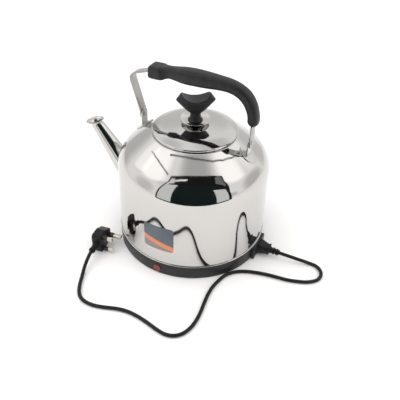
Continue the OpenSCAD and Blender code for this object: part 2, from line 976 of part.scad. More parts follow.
module plug_pin_neutral() {
    color(brass)
        at_plug()
            pin_block(0, -11.1, 4, 6.3, 17.7, -8);
}

module plug_fuse_carrier() {
    color("#5a2a20")
        at_plug()
            difference() {
                fuse_pocket(0);
                translate([-5, 9, 0])
                    cylinder(h = 25.4, r = 3.2, center = true);
            }
}

module plug_fuse() {
    color("ivory")
        at_plug()
            translate([-5, 9, 0])
                cylinder(h = 25.4, r = 3.2, center = true);
}

// A short cone that ends in a thicker collar.
module plug_relief() {
    length = plug_back - plug_relief_end;
    color(black)
        at_plug()
            translate([plug_cable_x, plug_back, 0])
                rotate([90, 0, 0])
                    rotate_extrude()
                        polygon([[0, 0], [6, 0], [4.2, length - 5], [5, length - 4.4], [5.3, length - 2.4],
                            [5.1, length - 0.5], [4.7, length], [0, length]]);
}

vessel_body();
vessel_bottom();
trim_ring();
spout();
front_ear();
rear_ear();
label();
base_skirt();
base_plate();
foot(0);  // foot_1
foot(1);  // foot_2
foot(2);  // foot_3
foot(3);  // foot_4
base_studs();
base_nuts();
heating_element();
element_gaskets();
element_nuts();
thermostat();
thermostat_bracket();
thermal_fuse();
indicator_lens();
indicator_lamp();
inlet_housing();
inlet_pin(pin_places[0]);  // inlet_pin_line
inlet_pin(pin_places[1]);  // inlet_pin_neutral
inlet_pin(pin_places[2]);  // inlet_pin_earth
inlet_screws();
wire_live();
wire_neutral();
wire_earth();
wire_lamp();
lid_shell();
lid_collar();
knob();
knob_saucer();
knob_screw();
knob_seal();
handle_strap();
grip();
handle_rivets();
connector_body();
connector_contacts();
connector_relief();
cord();
plug_body();
plug_relief();
plug_fuse_carrier();
plug_fuse();
plug_pin_earth();
plug_pin_line();
plug_pin_neutral();
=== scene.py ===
import math

import bmesh
import bpy
from mathutils import Matrix, Vector


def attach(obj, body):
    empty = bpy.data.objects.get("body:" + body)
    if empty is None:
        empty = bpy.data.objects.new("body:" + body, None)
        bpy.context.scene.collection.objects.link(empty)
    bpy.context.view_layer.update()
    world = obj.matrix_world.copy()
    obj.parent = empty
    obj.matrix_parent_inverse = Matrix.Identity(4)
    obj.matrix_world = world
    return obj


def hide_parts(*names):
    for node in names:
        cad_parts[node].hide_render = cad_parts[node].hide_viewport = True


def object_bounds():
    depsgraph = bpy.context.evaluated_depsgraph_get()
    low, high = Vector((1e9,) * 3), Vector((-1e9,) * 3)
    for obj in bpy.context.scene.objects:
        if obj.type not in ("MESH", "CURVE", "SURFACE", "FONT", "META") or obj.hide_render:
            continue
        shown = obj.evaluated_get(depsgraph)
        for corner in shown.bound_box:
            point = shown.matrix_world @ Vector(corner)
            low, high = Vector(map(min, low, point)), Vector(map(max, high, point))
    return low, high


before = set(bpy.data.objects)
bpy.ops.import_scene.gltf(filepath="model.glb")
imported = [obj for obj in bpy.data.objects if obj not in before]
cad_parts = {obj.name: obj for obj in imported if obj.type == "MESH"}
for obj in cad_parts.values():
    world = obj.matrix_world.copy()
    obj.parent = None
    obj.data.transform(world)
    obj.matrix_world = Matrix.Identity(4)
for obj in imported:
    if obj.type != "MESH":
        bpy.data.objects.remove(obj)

CAD_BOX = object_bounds()
MM = 0.001
SCENE = bpy.context.scene


# ---- Camera, in metres and degrees. It was fitted to the kettle's silhouette.

CAMERA_AT = (0.3061, -0.6276, 0.6190)
CAMERA_TURN, CAMERA_YAW, CAMERA_PITCH, CAMERA_ROLL = 26, 0.982, 38.57, 2.39
CAMERA_SENSOR, CAMERA_LENS = 36, 47.87


def add_camera():
    """The camera stands to the inlet's side of the handle's normal and looks down at the kettle."""
    turn, yaw, pitch, roll = (math.radians(a) for a in (CAMERA_TURN, CAMERA_YAW, CAMERA_PITCH,
                                                        CAMERA_ROLL))
    spin = Matrix.Rotation(turn, 3, "Z")
    forward = spin @ Vector((math.sin(yaw) * math.cos(pitch), math.cos(yaw) * math.cos(pitch),
                             -math.sin(pitch)))
    level = spin @ Vector((math.cos(yaw), -math.sin(yaw), 0))
    above = level.cross(forward)
    right = math.cos(roll) * level + math.sin(roll) * above
    up = -math.sin(roll) * level + math.cos(roll) * above
    data = bpy.data.cameras.new("camera")
    data.sensor_width, data.lens = CAMERA_SENSOR, CAMERA_LENS
    camera = bpy.data.objects.new("camera", data)
    SCENE.collection.objects.link(camera)
    rows = Matrix((right, up, -forward)).transposed().to_4x4()
    camera.matrix_world = Matrix.Translation(CAMERA_AT) @ rows
    SCENE.camera = camera


add_camera()


# ---- Mesh helpers. Shapes are worked out in millimetres, in the part's own frame.

SHARP = 32  # edges that turn by more degrees than this stay crisp
BEVEL_FROM = 40  # edges that turn by more degrees than this are rounded
WELD_GAP = 0.00001  # vertices closer than this, in metres, are one
FLAT = 0.5  # faces that turn by fewer degrees than this are one


def round_angles(count):
    """Equal angles round a full circle."""
    return [2 * math.pi * i / count for i in range(count)]


def mesh_piece(name, points, faces, sharp):
    mesh = bpy.data.meshes.new(name)
    mesh.from_pydata([Vector(p) * MM for p in points], [], faces)
    bm = bmesh.new()
    bm.from_mesh(mesh)
    bmesh.ops.recalc_face_normals(bm, faces=bm.faces)
    bm.to_mesh(mesh)
    bm.free()
    mesh.shade_smooth()
    mesh.set_sharp_from_angle(angle=math.radians(sharp))
    piece = bpy.data.objects.new(name, mesh)
    SCENE.collection.objects.link(piece)
    return piece


def skin(name, loops, sharp):
    """A closed surface through closed outlines, the last joined to the first."""
    count, size = len(loops), len(loops[0])
    faces = []
    for i in range(count):
        here, there = i * size, (i + 1) % count * size
        for k in range(size):
            j = (k + 1) % size
            faces.append((here + k, there + k, there + j, here + j))
    return mesh_piece(name, [p for loop in loops for p in loop], faces, sharp)


def lathe(name, outline, steps, sharp=SHARP):
    """Spins a closed outline of (radius, height) round Z. A point on the axis is one vertex."""
    points, rows = [], []
    for radius, height in outline:
        if radius < 1e-6:
            rows.append([len(points)] * steps)
            points.append((0, 0, height))
        else:
            rows.append(range(len(points), len(points) + steps))
            points += [(radius * math.cos(a), radius * math.sin(a), height)
                       for a in round_angles(steps)]
    faces = []
    for k, row in enumerate(rows):
        after = rows[(k + 1) % len(rows)]
        for i in range(steps):
            j = (i + 1) % steps
            face = list(dict.fromkeys((row[i], row[j], after[j], after[i])))
            if len(face) > 2:
                faces.append(face)
    return mesh_piece(name, points, faces, sharp)


def loft(name, rings):
    """A closed body through equal rings, with a flat cap at each end."""
    size = len(rings[0])
    last = (len(rings) - 1) * size
    faces = []
    for here in range(0, last, size):
        for k in range(size):
            j = (k + 1) % size
            faces.append((here + k, here + j, here + size + j, here + size + k))
    faces += [tuple(range(size)), tuple(range(last, last + size))]
    return mesh_piece(name, [p for ring in rings for p in ring], faces, SHARP)


def arc(cx, cy, r, start, end, steps):
    """Points along an arc, from one angle in degrees to another."""
    angles = [math.radians(start + (end - start) * i / steps) for i in range(steps + 1)]
    return [(cx + r * math.cos(a), cy + r * math.sin(a)) for a in angles]


def mixed(a, b, c, d, t):
    """Catmull-Rom: the value at a share t of the way from b to c."""
    return 0.5 * (2 * b + (c - a) * t + (2 * a - 5 * b + 4 * c - d) * t * t
                  + (3 * b - a - 3 * c + d) * t * t * t)


def neighbours(values, i):
    """The four values that shape the span after the one at i, the ends repeated."""
    return [values[k] for k in (max(i - 1, 0), i, i + 1, min(i + 2, len(values) - 1))]


def spline(points, steps):
    """A smooth line through every point, as the part's own sweeps draw it."""
    points = [Vector(p) for p in points]
    out = []
    for i in range(len(points) - 1):
        out += [mixed(*neighbours(points, i), k / steps) for k in range(steps)]
    return out + [points[-1]]


def tube(name, route, radius, sides):
    """A round tube along a route whose direction is never vertical."""
    rings, last = [], len(route) - 1
    for i, p in enumerate(route):
        along = (route[min(i + 1, last)] - route[max(i - 1, 0)]).normalized()
        side = Vector((0, 0, 1)).cross(along).normalized()
        up = along.cross(side)
        rings.append([p + radius * (math.cos(a) * side + math.sin(a) * up)
                      for a in round_angles(sides)])
    return loft(name, rings)


def take(piece, body, slot, material, *nodes):
    """Puts a piece in place of CAD nodes, on a body, with its finish."""
    piece.data.materials.clear()
    piece.data.materials.append(material)
    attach(piece, body)
    if nodes:
        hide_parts(*nodes)
    return piece


def bake(piece, *modifiers):
    """Adds modifiers, each a type and its settings, and applies them."""
    for kind, settings in modifiers:
        added = piece.modifiers.new(kind.lower(), kind)
        for key, value in settings.items():
            setattr(added, key, value)
    shown = piece.evaluated_get(bpy.context.evaluated_depsgraph_get())
    mesh = bpy.data.meshes.new_from_object(shown)
    piece.modifiers.clear()
    piece.data = mesh
    return piece


def copy_of(node, name):
    """A new piece with a CAD node's shape, its split vertices welded."""
    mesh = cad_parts[node].data.copy()
    mesh.name = name
    bm = bmesh.new()
    bm.from_mesh(mesh)
    bmesh.ops.remove_doubles(bm, verts=bm.verts, dist=WELD_GAP)
    bmesh.ops.dissolve_limit(bm, angle_limit=math.radians(FLAT), verts=bm.verts, edges=bm.edges)
    bm.to_mesh(mesh)
    bm.free()
    piece = bpy.data.objects.new(name, mesh)
    SCENE.collection.objects.link(piece)
    return piece


def eased(node, name, width):
    """A CAD node's shape with its sharp edges rounded."""
    piece = copy_of(node, name)
    bake(piece, ("BEVEL", {"width": width * MM, "segments": 3, "limit_method": "ANGLE",
                           "angle_limit": math.radians(BEVEL_FROM)}))
    piece.data.shade_smooth()
    piece.data.set_sharp_from_angle(angle=math.radians(SHARP))
    return piece


def moulded(node, name, voxel, rounds):
    """A CAD node's shape with every edge softened as a moulding's are."""
    piece = copy_of(node, name)
    bake(piece, ("REMESH", {"mode": "VOXEL", "voxel_size": voxel * MM, "use_smooth_shade": True}))
    bake(piece, ("SMOOTH", {"factor": 0.5, "iterations": rounds}))
    piece.data.shade_smooth()
    return piece


def joined(name, *pieces):
    """Several closed pieces as one."""
    bm = bmesh.new()
    for piece in pieces:
        bm.from_mesh(piece.data)
        bpy.data.objects.remove(piece)
    mesh = bpy.data.meshes.new(name)
    bm.to_mesh(mesh)
    bm.free()
    mesh.set_sharp_from_angle(angle=math.radians(SHARP))
    whole = bpy.data.objects.new(name, mesh)
    SCENE.collection.objects.link(whole)
    return whole


# ---- Materials. Object coordinates are the part's frame in metres, so a scale of 1000 gives
# grain of about 1 mm.

class Finish:
    """One procedural material, built up node by node."""

    def __init__(self, name, **constants):
        self.material = bpy.data.materials.new(name)
        self.material.use_nodes = True
        self.tree = self.material.node_tree
        self.shader = self.tree.nodes["Principled BSDF"]
        self.place = self.add("ShaderNodeTexCoord").outputs["Object"]
        self.bumped = None
        for key, value in constants.items():
            self.shader.inputs[key.replace("_", " ")].default_value = value

    def add(self, kind, settings=(), **inputs):
        node = self.tree.nodes.new(kind)
        for key, value in dict(settings).items():
            setattr(node, key, value)
        for key, value in inputs.items():
            self.put(node.inputs[int(key[1:]) if key[0] == "_" else key], value)
        return node

    def put(self, socket, value):
        """Links a socket to another one, or sets its value."""
        if isinstance(value, bpy.types.NodeSocket):
            self.tree.links.new(value, socket)
        else:
            socket.default_value = value

    def stretched(self, x, y, z):
        return self.add("ShaderNodeMapping", Vector=self.place, Scale=(x, y, z)).outputs[0]

    def noise(self, scale, detail=3, rough=0.5, source=None):
        return self.add("ShaderNodeTexNoise", Vector=source or self.place, Scale=scale,
                        Detail=detail, Roughness=rough).outputs[0]

    def speckle(self, scale):
        return self.add("ShaderNodeTexVoronoi", Vector=self.place, Scale=scale).outputs["Distance"]

    def sum(self, operation, a, b):
        return self.add("ShaderNodeMath", {"operation": operation}, _0=a, _1=b).outputs[0]

    def axis(self, name, source=None):
        return self.add("ShaderNodeSeparateXYZ", Vector=source or self.place).outputs[name]

    def span(self, value, low, high, to_low, to_high):
        return self.add("ShaderNodeMapRange", {"clamp": True}, _0=value, _1=low, _2=high,
                        _3=to_low, _4=to_high).outputs[0]

    def blend(self, share, a, b):
        mix = self.add("ShaderNodeMix", {"data_type": "RGBA"}, _0=share)
        for socket, value in ((mix.inputs[6], a), (mix.inputs[7], b)):
            self.put(socket, (*value, 1) if isinstance(value, tuple) else value)
        return mix.outputs[2]

    def feed(self, key, value):
        self.tree.links.new(value, self.shader.inputs[key])

    def bump(self, height, strength, depth):
        """Adds relief, with its depth in millimetres, on top of any given before."""
        node = self.add("ShaderNodeBump", Height=height, Strength=strength, Distance=depth * MM)
        if self.bumped:
            self.tree.links.new(self.bumped, node.inputs["Normal"])
        self.bumped = node.outputs[0]
        self.feed("Normal", self.bumped)


def polished_steel(name, tone=0.60, low=0.03, high=0.075):
    """Buffed stainless steel: cloudy smears, hairlines round its axis, a slow wobble in mirrors."""
    f = Finish(name, Metallic=1.0)
    cloud = f.noise(14, 4, 0.6)
    f.feed("Base Color", f.blend(cloud, (tone * 1.02, tone, tone * 0.965),
                                 (tone * 0.94, tone * 0.925, tone * 0.90)))
    smear = f.noise(55, 5, 0.65)
    f.feed("Roughness", f.span(smear, 0.35, 0.75, low, high))
    f.bump(f.noise(26, 2, 0.4), 0.35, 0.12)
    hairs = f.noise(1, 4, 0.7, f.stretched(60, 60, 2600))
    f.bump(hairs, 0.05, 0.02)
    return f.material


def satin_steel(name, across=(400, 2500, 400), tone=0.62, low=0.22, high=0.36):
    """Brushed stainless steel, its brush lines drawn along one direction."""
    f = Finish(name, Metallic=1.0)
    lines = f.noise(1, 5, 0.7, f.stretched(*across))
    f.feed("Base Color", f.blend(f.noise(40, 3), (tone, tone * 0.985, tone * 0.96),
                                 (tone * 0.86, tone * 0.85, tone * 0.83)))
    f.feed("Roughness", f.span(lines, 0.3, 0.7, low, high))
    f.bump(lines, 0.25, 0.03)
    return f.material


def plain_metal(name, light, dark, low, high):
    """Plated, cast or oxidised metal with a blotchy surface."""
    f = Finish(name, Metallic=1.0)
    grain = 900
    f.feed("Base Color", f.blend(f.span(f.noise(grain / 6, 5), 0.35, 0.65, 0, 1), light, dark))
    f.feed("Roughness", f.span(f.noise(grain / 3, 4), 0.35, 0.7, low, high))
    f.bump(f.noise(grain, 3), 0.15, 0.03)
    return f.material


def moulding(name, light, dark, low, high, grain=2600, relief=0.04, flow=90, **constants):
    """Moulded plastic, rubber or ceramic: a pebbled skin, a cloudy sheen and pale rubbed specks."""
    f = Finish(name, **constants)
    cloud = f.noise(flow, 4, 0.6)
    specks = f.span(f.noise(grain / 5, 6, 0.7), 0.62, 0.8, 0, 0.35)
    base = f.blend(f.span(cloud, 0.3, 0.7, 0, 1), dark, light)
    f.feed("Base Color", f.blend(specks, base, tuple(min(1, c * 1.7 + 0.006) for c in light)))
    f.feed("Roughness", f.span(f.noise(flow * 2.5, 4, 0.6), 0.3, 0.7, low, high))
    f.bump(f.speckle(grain), 0.25, relief)
    return f.material


def striped(name, base, stripe):
    """Two-colour wire insulation, the stripe winding along it."""
    f = Finish(name)
    wave = f.sum("SINE", f.sum("MULTIPLY", f.sum("ADD", f.axis("X"), f.axis("Z")), 900), 0)
    f.feed("Base Color", f.blend(f.span(wave, -0.1, 0.1, 0, 1), base, stripe))
    f.feed("Roughness", f.span(f.noise(600), 0.3, 0.7, 0.35, 0.5))
    f.bump(f.noise(2500), 0.1, 0.03)
    return f.material


def red_lens():
    """A dark red translucent cap with an inner honeycomb."""
    f = Finish("red_lens", Transmission_Weight=0.25, IOR=1.49, Coat_Weight=0.4, Coat_Roughness=0.08)
    cells = f.speckle(900)
    f.feed("Base Color", f.blend(f.span(cells, 0, 0.6, 0, 1), (0.50, 0.018, 0.02),
                                 (0.13, 0.004, 0.006)))
    f.feed("Roughness", f.span(f.noise(700), 0.3, 0.7, 0.1, 0.22))
    f.bump(cells, 0.4, 0.1)
    return f.material


# The label's print: the wall's radius, the band's rise across it, the heights of the change of
# ground and of the band's edges, and half the softness of an edge, in metres.
LABEL_WALL, LABEL_RISE, LABEL_GROUND, BAND_LOW, BAND_HIGH = 0.12, 0.25, 0.0665, 0.0590, 0.0680
LABEL_SOFT = 0.0004


def label_print():
    """A plain plate: slate above and grey below, with a slanted orange band between them."""
    f = Finish("label_print", Coat_Weight=0.3, Coat_Roughness=0.12)
    around = f.sum("ARCTAN2", f.axis("X"), f.sum("MULTIPLY", f.axis("Y"), -1))
    across = f.sum("MULTIPLY", around, LABEL_WALL)
    slant = f.sum("ADD", f.axis("Z"), f.sum("MULTIPLY", across, LABEL_RISE))
    fleck = f.noise(2200, 3)
    slate = f.blend(fleck, (0.048, 0.066, 0.085), (0.085, 0.108, 0.130))
    lower = f.blend(fleck, (0.15, 0.15, 0.155), (0.22, 0.215, 0.21))
    orange = f.blend(fleck, (0.56, 0.15, 0.045), (0.70, 0.24, 0.085))

    def above(height):
        return f.span(slant, height - LABEL_SOFT, height + LABEL_SOFT, 0, 1)

    ground = f.blend(above(LABEL_GROUND), lower, slate)
    band = f.sum("MULTIPLY", above(BAND_LOW), f.sum("SUBTRACT", 1, above(BAND_HIGH)))
    f.feed("Base Color", f.blend(band, ground, orange))
    f.feed("Roughness", f.span(fleck, 0.3, 0.7, 0.22, 0.36))
    f.bump(fleck, 0.1, 0.02)
    return f.material


# The plug's place and turn, and where the black root half of its pins ends, in metres and degrees.
PLUG_AT, PLUG_TURN, BLACK_ROOT_ENDS = (-0.1025, -0.1205, 0.017), 8, (0.0094, 0.0097)


def pin_metal():
    """Nickel-plated brass, black on the root half of all three pins: the insulating sleeve on the
    line and neutral pins, and the same black on the earth pin.
    """
    f = Finish("pin_metal")
    along = f.add("ShaderNodeMapping", {"vector_type": "TEXTURE"}, Vector=f.place,
                  Location=PLUG_AT, Rotation=(0, 0, math.radians(PLUG_TURN))).outputs[0]
    # Below these ends every pin is black, the earth pin as well as the line and neutral pins.
    bare = f.span(f.axis("X", along), *BLACK_ROOT_ENDS, 0, 1)
    scuff = f.noise(700, 4)
    nickel = f.blend(scuff, (0.80, 0.76, 0.68), (0.66, 0.60, 0.50))
    f.feed("Base Color", f.blend(bare, (0.016, 0.016, 0.017), nickel))
    f.feed("Metallic", bare)
    f.feed("Roughness", f.span(scuff, 0.3, 0.7, 0.18, 0.34))
    f.bump(f.noise(3000), 0.1, 0.02)
    return f.material


MATERIALS = {
    "polished": polished_steel("polished_steel"),
    "polished_lid": polished_steel("polished_lid", tone=0.56, low=0.04, high=0.09),
    "polished_spout": polished_steel("polished_spout", tone=0.60, low=0.05, high=0.11),
    "satin": satin_steel("satin_steel"),
    # The strap uses the ears' satin steel with a darker tone, which is painted shade for the
    # mid-grey of its arms. Its smoother brushing, drawn along its length, is its own.
    "strap": satin_steel("strap_steel_painted_shade", across=(300, 3000, 300), tone=0.38, low=0.16,
                         high=0.3),
    "weld": plain_metal("weld_bead", (0.34, 0.33, 0.31), (0.20, 0.19, 0.18), 0.25, 0.45),
    "plated": plain_metal("zinc_steel", (0.55, 0.55, 0.54), (0.40, 0.41, 0.42), 0.25, 0.45),
    "pan": satin_steel("pan_steel", across=(900, 900, 900), tone=0.56, low=0.28,
                       high=0.42),
    "base": moulding("base_black", (0.019, 0.019, 0.020), (0.012, 0.012, 0.013), 0.30, 0.44,
                     grain=3200, Specular_IOR_Level=0.3),
    "phenolic": moulding("phenolic_black", (0.017, 0.018, 0.020), (0.010, 0.0105, 0.0115),
                         0.30, 0.46, grain=2200, relief=0.05, Specular_IOR_Level=0.28),
    "cord": moulding("cord_black", (0.013, 0.013, 0.0135), (0.007, 0.007, 0.0075), 0.36, 0.50,
                     flow=140, Specular_IOR_Level=0.25),
    "plug": moulding("plug_black", (0.012, 0.012, 0.0125), (0.007, 0.007, 0.0075), 0.34, 0.48,
                     grain=2400, Specular_IOR_Level=0.22),
    "rubber": moulding("foot_rubber", (0.040, 0.039, 0.038), (0.024, 0.024, 0.024), 0.70, 0.88,
                       grain=1800, relief=0.08),
    "silicone": moulding("red_silicone", (0.42, 0.05, 0.03), (0.30, 0.03, 0.02), 0.45, 0.6),
    "ceramic": moulding("white_ceramic", (0.80, 0.77, 0.70), (0.68, 0.65, 0.58), 0.35, 0.5),
    "tan": moulding("tan_phenolic", (0.50, 0.36, 0.19), (0.38, 0.26, 0.13), 0.45, 0.6),
    "carrier": moulding("carrier_maroon", (0.040, 0.014, 0.011), (0.026, 0.010, 0.008), 0.35,
                        0.5),
    "sheath": plain_metal("element_sheath", (0.30, 0.27, 0.23), (0.14, 0.12, 0.10), 0.35, 0.6),
    "brass": plain_metal("brass_bright", (0.80, 0.58, 0.27), (0.62, 0.42, 0.18), 0.18, 0.35),
    "neon": moulding("neon_glass", (0.75, 0.33, 0.14), (0.60, 0.24, 0.10), 0.06, 0.15,
                     Transmission_Weight=0.5),
    "brown": moulding("wire_brown", (0.16, 0.06, 0.025), (0.11, 0.04, 0.016), 0.35, 0.5),
    "blue": moulding("wire_blue", (0.03, 0.10, 0.42), (0.02, 0.07, 0.30), 0.35, 0.5),
    "grey": moulding("wire_grey", (0.30, 0.30, 0.31), (0.22, 0.22, 0.23), 0.35, 0.5),
    "earth": striped("wire_green", (0.09, 0.30, 0.03), (0.70, 0.55, 0.03)),
    "lens": red_lens(),
    "label": label_print(),
    "pin": pin_metal(),
}
NODE_FINISH = {
    "polished": ["vessel_body", "trim_ring", "knob_saucer"],
    "polished_lid": ["lid_shell"],
    "polished_spout": ["spout"],
    "satin": ["front_ear", "rear_ear", "handle_rivets", "lid_collar"],
    "strap": ["handle_strap"],
    "plated": ["base_studs", "base_nuts", "inlet_screws", "knob_screw", "thermostat_bracket"],
    "pan": ["vessel_bottom"],
    "base": ["base_skirt", "base_plate", "inlet_housing"],
    "phenolic": ["knob", "grip"],
    "cord": ["cord"],
    "plug": ["connector_body", "connector_relief", "plug_body", "plug_relief"],
    "rubber": ["foot_1", "foot_2", "foot_3", "foot_4", "knob_seal"],
    "silicone": ["element_gaskets"],
    "ceramic": ["plug_fuse", "thermal_fuse"],
    "tan": ["thermostat"],
    "carrier": ["plug_fuse_carrier"],
    "sheath": ["heating_element"],
    "brass": ["element_nuts", "inlet_pin_line", "inlet_pin_neutral", "inlet_pin_earth",
              "connector_contacts"],
    "neon": ["indicator_lamp"],
    "brown": ["wire_live"],
    "blue": ["wire_neutral"],
    "grey": ["wire_lamp"],
    "earth": ["wire_earth"],
    "lens": ["indicator_lens"],
    "label": ["label"],
    "pin": ["plug_pin_earth", "plug_pin_line", "plug_pin_neutral"],
}


def finish_nodes():
    """Gives every CAD node its material, whether or not a finer piece stands for it later."""
    for key, names in NODE_FINISH.items():
        for name in names:
            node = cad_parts[name]
            node.data.materials.clear()
            node.data.materials.append(MATERIALS[key])


finish_nodes()


# ---- Mouldings and pressings that keep the CAD shape, with rounded edges.

def mould_pieces(*rows):
    for node, voxel, rounds, body, slot, finish in rows:
        take(moulded(node, node + "_moulding", voxel, rounds), body, slot, MATERIALS[finish], node)


def ease_pieces(*rows):
    for node, width, body, slot, finish in rows:
        take(eased(node, node + "_eased", width), body, slot, MATERIALS[finish], node)


# The plug comes first, before the cord.
mould_pieces(("plug_body", 0.6, 7, "kettle", "cord_black", "plug"))
ease_pieces(*((pin, 0.5, "kettle", "brass_bright", "pin")
              for pin in ("plug_pin_earth", "plug_pin_line", "plug_pin_neutral")))


# ---- The cord, from the connector round its loop to the plug, on the part's own route in metres.

CORD_ROUTE = [
    (0.158, 0, 0.0125), (0.17, 0, 0.0125), (0.179, 0.0003, 0.0124), (0.19, 0.003, 0.01),
    (0.2, 0.007, 0.0065), (0.209, 0.0098, 0.0036), (0.214, 0.0104, 0.0031),
    (0.2197, 0.0098, 0.0031), (0.2274, 0.0058, 0.0031), (0.2326, -0.001, 0.0031),
    (0.2345, -0.0095, 0.0031), (0.2326, -0.018, 0.0031), (0.2279, -0.0244, 0.0031),
    (0.2195, -0.031, 0.0031), (0.2087, -0.036, 0.0031), (0.1915, -0.0415, 0.0031),
    (0.1784, -0.0434, 0.0031), (0.165, -0.0452, 0.0031), (0.1518, -0.0475, 0.0031),
    (0.137, -0.0515, 0.0031), (0.123, -0.057, 0.0031), (0.11, -0.0655, 0.0031),
    (0.1005, -0.0775, 0.0031), (0.0956, -0.0925, 0.0031), (0.0926, -0.111, 0.0031),
    (0.093, -0.129, 0.0031), (0.0954, -0.1467, 0.0031), (0.0982, -0.165, 0.0031),
    (0.0993, -0.183, 0.0031), (0.0972, -0.1995, 0.0031), (0.091, -0.2125, 0.0031),
    (0.0815, -0.22, 0.0031), (0.07, -0.2226, 0.0031), (0.0558, -0.2208, 0.0031),
    (0.0404, -0.2171, 0.0031), (0.0253, -0.2142, 0.0031), (0.0106, -0.2128, 0.0031),
    (-0.0025, -0.2135, 0.0031), (-0.0147, -0.2162, 0.0031), (-0.026, -0.2202, 0.0031),
    (-0.0374, -0.2241, 0.0031), (-0.0495, -0.2266, 0.0031), (-0.062, -0.2266, 0.0031),
    (-0.0725, -0.2232, 0.0031), (-0.0805, -0.2165, 0.0031), (-0.0863, -0.2083, 0.0031),
    (-0.0912, -0.1993, 0.0031), (-0.0952, -0.1903, 0.0035), (-0.0986, -0.182, 0.005),
    (-0.1014, -0.174, 0.008), (-0.1034, -0.166, 0.0116), (-0.1049, -0.158, 0.0148),
    (-0.10639, -0.15033, 0.0165), (-0.10707, -0.14548, 0.017),
]
CORD_THICK = 0.0056
CORD_STEPS, CORD_SIDES = 6, 28


def cord_piece():
    """The cord, with its path and its length in metres."""
    line = [p / MM for p in spline(CORD_ROUTE, CORD_STEPS)]
    length = sum((a - b).length for a, b in zip(line, line[1:])) * MM
    piece = tube("mains_cord", line, CORD_THICK / MM / 2, CORD_SIDES)
    take(piece, "kettle", "cord_black", MATERIALS["cord"], "cord")
    return piece, [tuple(p * MM for p in point) for point in line], length


CORD, CORD_LINE, CORD_LENGTH = cord_piece()


# ---- Fine steel surfaces. Their values are the CAD part's own, in millimetres.

BODY_R, WALL_TOP, CORNER_R, CORNER_END, CROWN_R = 120, 136, 46, 50.6, 428
SEAT_R, ROLL_R, NECK_R, NECK_DEEP, SHEET = 66, 3, 59, 10, 1
CORNER_CX = BODY_R - CORNER_R
CROWN_CX = CORNER_CX + (CORNER_R - CROWN_R) * math.cos(math.radians(CORNER_END))
CROWN_CZ = WALL_TOP + (CORNER_R - CROWN_R) * math.sin(math.radians(CORNER_END))
CROWN_END = math.degrees(math.acos((SEAT_R - CROWN_CX) / (CROWN_R - ROLL_R)))
ROLL_CZ = CROWN_CZ + (CROWN_R - ROLL_R) * math.sin(math.radians(CROWN_END))
SEAT_Z = ROLL_CZ + ROLL_R
BASE_TOP = 24.2
LID_R, LID_RISE, LID_BAND, LID_Z = 65, 12.9, 3.6, SEAT_Z + 0.15
LID_TOP = LID_Z + LID_BAND + LID_RISE
FOOT_Z = LID_TOP + 1  # the height of the saucer's flat middle
ROUND_STEPS, LID_STEPS, SAUCER_STEPS, RIVET_STEPS = 384, 320, 192, 48


def shoulder(offset):
    """The wall's turn, the crown and the roll at the neck, moved outwards by the offset."""
    return (arc(CORNER_CX, WALL_TOP, CORNER_R + offset, 0, CORNER_END, 56)
            + arc(CROWN_CX, CROWN_CZ, CROWN_R + offset, CORNER_END, CROWN_END, 12)[1:]
            + arc(SEAT_R, ROLL_CZ, ROLL_R + offset, CROWN_END, 90, 24)[1:])


def vessel():
    """The spun wall and shoulder, turned down at the neck."""
    wall = [(BODY_R, z) for z in (BASE_TOP + 0.1, 26, 60, 100, 130, 135)]
    inside = [(BODY_R - SHEET, z) for z in (135, 60, BASE_TOP + 0.1)]
    turned_in = [(NECK_R + 0.8, SEAT_Z), (NECK_R + 0.2, SEAT_Z - 0.3), (NECK_R, SEAT_Z - 1),
                 (NECK_R, SEAT_Z - NECK_DEEP), (NECK_R + SHEET, SEAT_Z - NECK_DEEP),
                 (NECK_R + SHEET, SEAT_Z - 1.6), (NECK_R + 2, SEAT_Z - SHEET)]
    outline = wall + shoulder(0) + turned_in + shoulder(-SHEET)[::-1] + inside
    piece = lathe("vessel", outline, ROUND_STEPS)
    take(piece, "kettle", "polished_steel", MATERIALS["polished"], "vessel_body")


def trim():
    """The bright bead between the wall and the base, on a flat ring under the wall."""
    inner, low, high = 116.2, 23.25, 24.19
    bead = arc(120.6, BASE_TOP, 0.88, -50, 128, 16)
    outline = [(inner, low), (121.1, low)] + bead + [(120.05, high), (inner, high)]
    piece = lathe("trim", outline, ROUND_STEPS, 60)
    take(piece, "kettle", "polished_steel", MATERIALS["polished"], "trim_ring")


# Slope of the lid's dome in degrees at each radius: flatter in the middle, steeper near the rim.
LID_SLOPES = [(2.6, 4), (12, 8), (23, 9.5), (40, 10), (46, 12), (51, 16), (55, 20.5), (60, 23.5),
              (63.4, 25)]
DOME_STEPS = 80
LID_SHEET = 0.9


def lid_dome(start):
    """Heights from the rim inwards, worked out from the slopes and scaled to the lid's top."""
    def slope(r):
        for (a, low), (b, high) in zip(LID_SLOPES, LID_SLOPES[1:]):
            if r <= b:
                return math.tan(math.radians(low + (high - low) * (r - a) / (b - a)))
        return math.tan(math.radians(LID_SLOPES[-1][1]))

    inner, outer = LID_SLOPES[0][0], LID_SLOPES[-1][0]
    step = (outer - inner) / DOME_STEPS
    rise, heights = 0, []
    for k in range(DOME_STEPS + 1):
        r = outer - step * k
        heights.append((r, rise))
        rise += slope(r - step / 2) * step
    scale = (LID_TOP - start) / heights[-1][1]
    return [(r, start + z * scale) for r, z in heights]


def lid():
    """The lid: a short upright band with rounded edges, and the dome."""
    band_top = LID_Z + LID_BAND
    band = [(LID_R - 1, LID_Z + 0.05), (LID_R - 0.3, LID_Z + 0.2), (LID_R, LID_Z + 0.8),
            (LID_R, band_top - 1.1), (LID_R - 0.15, band_top - 0.5), (LID_R - 0.5, band_top),
            (LID_R - 1, band_top + 0.35)]
    dome = lid_dome(band_top + 0.62)
    outline = band + dome + [(r, z - LID_SHEET) for r, z in dome[::-1][:-2]]
    piece = lathe("lid_dome", outline, LID_STEPS)
    take(piece, "lid", "polished_steel", MATERIALS["polished_lid"], "lid_shell")


